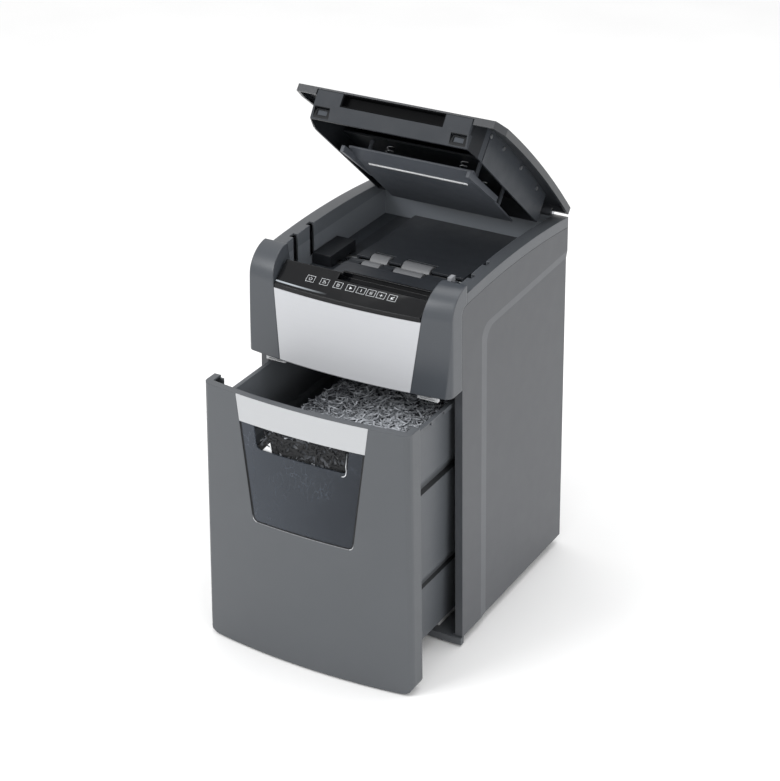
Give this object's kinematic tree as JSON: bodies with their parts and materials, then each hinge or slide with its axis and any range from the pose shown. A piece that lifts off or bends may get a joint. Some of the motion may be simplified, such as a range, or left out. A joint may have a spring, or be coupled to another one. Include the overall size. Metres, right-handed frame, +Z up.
{
  "type": "paper shredder",
  "caption": "Auto-feed paper shredder with an open lid over a sheet tray and feed rollers, and a pull-out drawer with a window, a silver band and a bin of shredded paper.",
  "frame": {"origin": "on the floor under the middle of the whole machine with the drawer part way out and the lid open", "axes": "+X to the machine's right as seen from the front, +Y to the back, +Z up; the front faces -Y"},
  "size_m": [0.3444, 0.511, 0.7825],
  "materials": {
    "shell_plastic": "fine satin grain",
    "dark_plastic": "fine satin grain",
    "lid_plastic": "fine satin grain",
    "inner_plastic": "matte",
    "bin_plastic": "matte",
    "silver": "brushed satin",
    "panel_black": "high gloss",
    "smoked_window": "gloss, see-through",
    "catch_plastic": "matte",
    "clip_plastic": "matte",
    "foot_rubber": "matte",
    "roller_rubber": "matte",
    "zinc_steel": "zinc plated",
    "cutter_steel": "ground and oiled",
    "sintered_steel": "sintered, greased",
    "nylon": "moulded",
    "bronze": "sintered",
    "motor_black": "satin paint",
    "armature": "lacquered copper on steel",
    "circuit_board": "solder mask",
    "switch_black": "gloss",
    "plunger_red": "gloss",
    "paper_strips": "loose strips"
  },
  "bodies": {
    "cabinet": {"feet": "foot_rubber", "base_tray": "dark_plastic", "side_panel_left": "shell_plastic", "side_panel_right": "shell_plastic", "back_panel": "shell_plastic", "top_housing": "shell_plastic", "front_fascia": "dark_plastic", "fascia_plate": "silver", "control_panel": "panel_black", "panel_board": "circuit_board", "latch_clips": "clip_plastic", "paper_tray": "inner_plastic", "feed_gear_cover": "inner_plastic", "lid_catch": "catch_plastic", "head_deck": "zinc_steel", "manual_chute": "inner_plastic", "cutter_plate_left": "zinc_steel", "cutter_plate_right": "zinc_steel", "tie_rods": "zinc_steel", "shaft_bushes": "bronze", "cutter_combs": "inner_plastic", "gear_axles": "zinc_steel", "gear_guard": "zinc_steel", "motor_can": "motor_black", "main_board": "circuit_board", "mains_inlet": "switch_black", "switch_housing": "switch_black", "safety_switch": "switch_black", "lid_hinge_pins": "zinc_steel", "bin_rails": "clip_plastic", "back_screws": "zinc_steel"},
    "cutter_front": {"cutter_shaft_front": "cutter_steel", "sync_gear_front": "sintered_steel", "feed_drive_gear": "nylon"},
    "cutter_rear": {"cutter_shaft_rear": "cutter_steel", "sync_gear_rear": "sintered_steel"},
    "second_gear": {"reduction_gear_second": "nylon"},
    "first_gear": {"reduction_gear_first": "nylon"},
    "rotor": {"motor_rotor": "armature", "motor_fan": "nylon"},
    "idler": {"feed_idler_gear": "nylon"},
    "feed_front": {"feed_shaft_front": "zinc_steel", "feed_rollers_front": "roller_rubber"},
    "feed_rear": {"feed_shaft_rear": "zinc_steel", "feed_rollers_rear": "roller_rubber"},
    "lid": {"lid_shell": "lid_plastic", "lid_frame": "lid_plastic", "lid_grip": "panel_black", "lid_screws": "zinc_steel", "plate_springs": "zinc_steel"},
    "press": {"pressure_plate": "shell_plastic", "plate_strip": "clip_plastic"},
    "drawer": {"drawer_front": "shell_plastic", "drawer_band": "silver", "drawer_window": "smoked_window", "bin": "bin_plastic", "shredded_paper": "paper_strips"},
    "rocker": {"power_rocker": "switch_black"},
    "plunger": {"safety_plunger": "plunger_red"}
  },
  "joints": [
    {"name": "lid_hinge", "type": "hinge", "parent": "cabinet", "child": "lid", "pos_m": [0, 0.2475, 0.56002], "axis": [1, 0, 0], "range_deg": [-8, 40.5]},
    {"name": "pressure_slide", "type": "slide", "parent": "lid", "child": "press", "axis": [0, 0.6494, 0.7604], "range_m": [0, 0.012], "stiffness_N_per_m": 160, "springref_m": -0.01, "deforming": ["plate_springs"]},
    {"name": "drawer_slide", "type": "slide", "parent": "cabinet", "child": "drawer", "axis": [0, -1, 0], "range_m": [-0.116, 0.15]},
    {"name": "cutter_rear_spin", "type": "hinge", "parent": "cabinet", "child": "cutter_rear", "pos_m": [0, 0.06853, 0.462], "axis": [1, 0, 0], "continuous": true},
    {"name": "cutter_front_spin", "type": "hinge", "parent": "cabinet", "child": "cutter_front", "pos_m": [0, 0.02853, 0.462], "axis": [1, 0, 0], "continuous": true},
    {"name": "second_gear_spin", "type": "hinge", "parent": "cabinet", "child": "second_gear", "pos_m": [0, 0.0975, 0.45424], "axis": [1, 0, 0], "continuous": true},
    {"name": "first_gear_spin", "type": "hinge", "parent": "cabinet", "child": "first_gear", "pos_m": [0, 0.1369, 0.46118], "axis": [1, 0, 0], "continuous": true},
    {"name": "rotor_spin", "type": "hinge", "parent": "cabinet", "child": "rotor", "pos_m": [0, 0.17887, 0.46265], "axis": [1, 0, 0], "continuous": true},
    {"name": "idler_spin", "type": "hinge", "parent": "cabinet", "child": "idler", "pos_m": [0, 0.0194, 0.48635], "axis": [1, 0, 0], "continuous": true},
    {"name": "feed_front_spin", "type": "hinge", "parent": "cabinet", "child": "feed_front", "pos_m": [0, 0.03403, 0.506], "axis": [1, 0, 0], "continuous": true},
    {"name": "feed_rear_spin", "type": "hinge", "parent": "cabinet", "child": "feed_rear", "pos_m": [0, 0.06303, 0.506], "axis": [1, 0, 0], "continuous": true},
    {"name": "power_rocker_tilt", "type": "hinge", "parent": "cabinet", "child": "rocker", "pos_m": [-0.047, 0.2365, 0.459], "axis": [1, 0, 0], "range_deg": [-12, 0]},
    {"name": "safety_plunger_slide", "type": "slide", "parent": "cabinet", "child": "plunger", "axis": [0, 1, 0], "range_m": [0, 0.0025], "stiffness_N_per_m": 400}
  ],
  "couplings": [
    {"joint": "cutter_front_spin", "follows": "cutter_rear_spin", "ratio": -1},
    {"joint": "second_gear_spin", "follows": "cutter_rear_spin", "ratio": -2},
    {"joint": "first_gear_spin", "follows": "cutter_rear_spin", "ratio": 5.2727},
    {"joint": "rotor_spin", "follows": "cutter_rear_spin", "ratio": -19.333},
    {"joint": "idler_spin", "follows": "cutter_rear_spin", "ratio": 1.6},
    {"joint": "feed_front_spin", "follows": "cutter_rear_spin", "ratio": -1.1034},
    {"joint": "feed_rear_spin", "follows": "cutter_rear_spin", "ratio": 1.1034}
  ]
}
